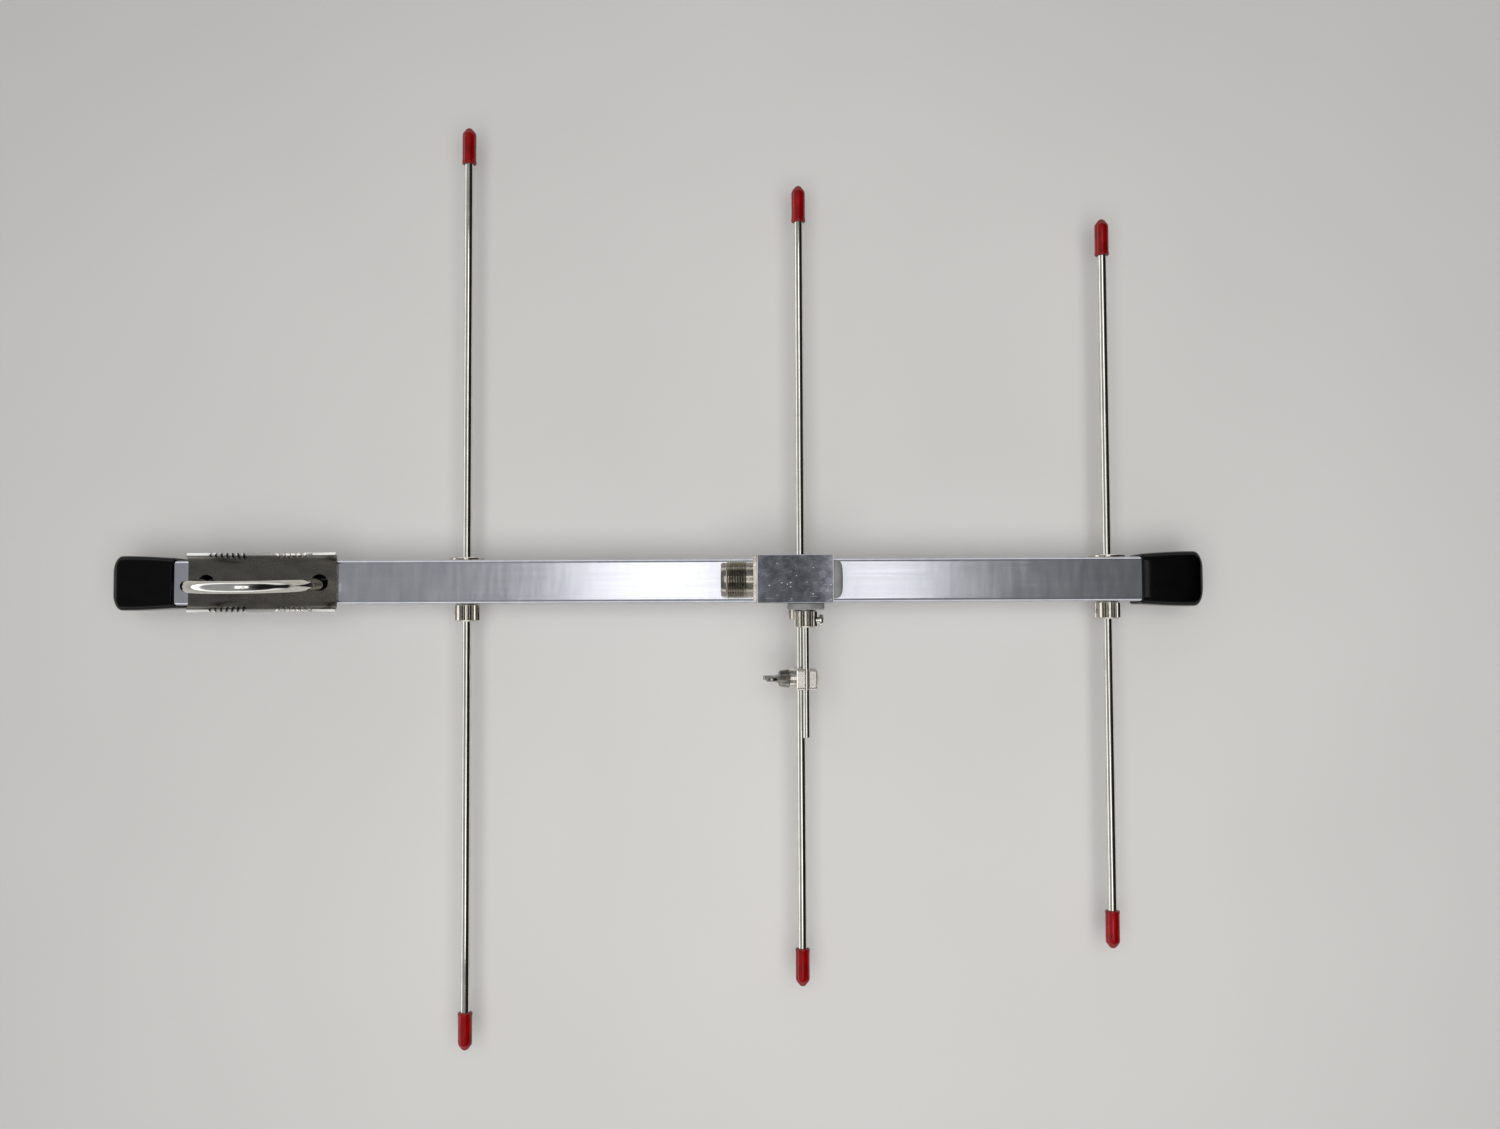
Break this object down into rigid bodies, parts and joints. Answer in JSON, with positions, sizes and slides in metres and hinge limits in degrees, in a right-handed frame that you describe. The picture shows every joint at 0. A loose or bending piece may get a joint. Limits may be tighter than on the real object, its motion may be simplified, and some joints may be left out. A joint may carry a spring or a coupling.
{
  "type": "yagi antenna",
  "caption": "Short UHF yagi antenna on a square boom, with capped rod elements, a gamma-matched feed box with coaxial jack, and a U-bolt mast clamp.",
  "frame": {"origin": "middle of the mast saddle's seat, the flat face between its two toothed flanges that faces the mast", "axes": "+X along the boom from the reflector to the director, +Y along the elements, +Z out of the saddle seat towards the mast"},
  "size_m": [0.466, 0.399, 0.0697],
  "materials": {
    "mill_aluminium": "extruded mill finish with fine lines along the boom",
    "black_vinyl": "glossy dipped vinyl",
    "plated_steel": "zinc-plated pressed steel, dull grey",
    "bright_steel": "bright polished wire and screws",
    "die_cast_zinc": "plated die-cast zinc",
    "nickel_plate": "warm nickel plate on turned brass",
    "red_vinyl": "red dipped vinyl with a soft gloss",
    "box_aluminium": "bluish mill aluminium, scratched and spotted",
    "grey_plastic": "mid-grey moulded plastic",
    "ptfe": "white waxy fluoropolymer",
    "brass": "plain turned brass"
  },
  "bodies": {
    "root": {"boom_tube": "mill_aluminium", "boom_cap_front": "black_vinyl", "boom_cap_rear": "black_vinyl", "mast_saddle": "plated_steel", "feed_box_screw_rear": "plated_steel", "feed_box_screw_front": "plated_steel", "reflector_grub_screw": "plated_steel", "driven_grub_screw": "plated_steel", "director_grub_screw": "plated_steel", "reflector_rod": "bright_steel", "driven_rod": "bright_steel", "director_rod": "bright_steel", "gamma_rod": "bright_steel", "gamma_coupler_screw": "bright_steel", "u_bolt_washer_rear": "bright_steel", "u_bolt_washer_front": "bright_steel", "u_bolt_spring_washer_rear": "bright_steel", "u_bolt_spring_washer_front": "bright_steel", "reflector_bush": "nickel_plate", "reflector_collar": "nickel_plate", "driven_bush": "nickel_plate", "driven_collar": "nickel_plate", "director_bush": "nickel_plate", "director_collar": "nickel_plate", "coax_jack_body": "nickel_plate", "gamma_coupler": "nickel_plate", "reflector_tip_upper": "red_vinyl", "reflector_tip_lower": "red_vinyl", "driven_tip_upper": "red_vinyl", "driven_tip_lower": "red_vinyl", "director_tip_upper": "red_vinyl", "director_tip_lower": "red_vinyl", "feed_box": "box_aluminium", "feed_box_plug": "grey_plastic", "gamma_bush": "grey_plastic", "jack_insulator": "ptfe", "jack_contact": "brass", "feed_link": "brass"},
    "u_bolt": {"u_bolt": "bright_steel"},
    "u_bolt_nut_rear": {"u_bolt_nut_rear": "bright_steel"},
    "u_bolt_nut_front": {"u_bolt_nut_front": "bright_steel"},
    "gamma_clamp": {"clamp_jaw_front": "nickel_plate", "clamp_jaw_rear": "nickel_plate", "clamp_screw": "bright_steel", "clamp_washer": "bright_steel", "clamp_spring_washer": "bright_steel"},
    "wing_nut": {"wing_nut": "die_cast_zinc"}
  },
  "joints": [
    {"name": "u_bolt_slide", "type": "slide", "parent": "root", "child": "u_bolt", "axis": [0, -0.0628, 0.998], "range_m": [-0.012, 0.003]},
    {"name": "u_bolt_nut_rear_turn", "type": "hinge", "parent": "root", "child": "u_bolt_nut_rear", "pos_m": [-0.0241, 0.00091, -0.0255], "axis": [0, -0.0628, 0.998], "range_deg": [-5405, 1355]},
    {"name": "u_bolt_nut_front_turn", "type": "hinge", "parent": "root", "child": "u_bolt_nut_front", "pos_m": [0.0241, 0.00091, -0.0255], "axis": [0, -0.0628, 0.998], "range_deg": [-5405, 1355]},
    {"name": "clamp_slide", "type": "slide", "parent": "root", "child": "gamma_clamp", "axis": [0, 1, 0], "range_m": [-0.019, 0.0165]},
    {"name": "wing_nut_turn", "type": "hinge", "parent": "gamma_clamp", "child": "wing_nut", "pos_m": [0.22157, -0.0416, -0.00064], "axis": [0.9971, 0, -0.0767], "continuous": true}
  ],
  "couplings": [
    {"joint": "u_bolt_nut_rear_turn", "follows": "u_bolt_slide", "rad_per_m": 7854},
    {"joint": "u_bolt_nut_front_turn", "follows": "u_bolt_slide", "rad_per_m": 7854}
  ]
}
